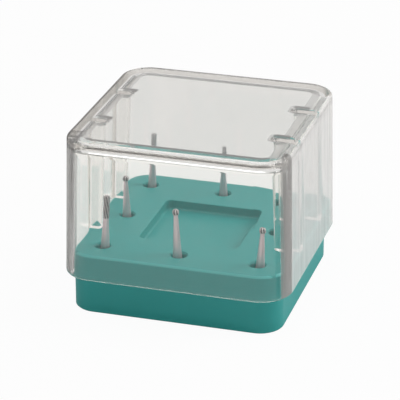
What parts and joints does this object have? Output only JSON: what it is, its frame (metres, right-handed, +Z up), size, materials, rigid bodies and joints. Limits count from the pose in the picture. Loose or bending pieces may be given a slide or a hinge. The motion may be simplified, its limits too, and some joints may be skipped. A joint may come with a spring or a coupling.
{
  "type": "dental bur block",
  "caption": "Square moulded block that stands dental burs in a ring of holes round a shallow recess, under a clear lift-off lid with ribs inside.",
  "frame": {"origin": "middle of the block's underside, on the surface that it stands on", "axes": "+Z up, +X to the right along the front, -Y out of the front; the rows of holes run along X and Y"},
  "size_m": [0.04, 0.04, 0.0315],
  "materials": {
    "block_plastic": "satin moulded plastic",
    "clear_plastic": "clear moulded plastic, polished",
    "bur_steel": "ground steel"
  },
  "bodies": {
    "base": {"bur_block_base": "block_plastic", "fissure_bur_front_left": "bur_steel", "round_bur_left": "bur_steel", "cylinder_bur_back_left": "bur_steel", "taper_bur_back": "bur_steel", "round_bur_front": "bur_steel", "round_bur_front_right": "bur_steel"},
    "lid": {"clear_lid": "clear_plastic"}
  },
  "joints": [
    {"name": "lid_lift", "type": "slide", "parent": "base", "child": "lid", "axis": [0, 0, 1], "range_m": [0, 0.03]}
  ]
}
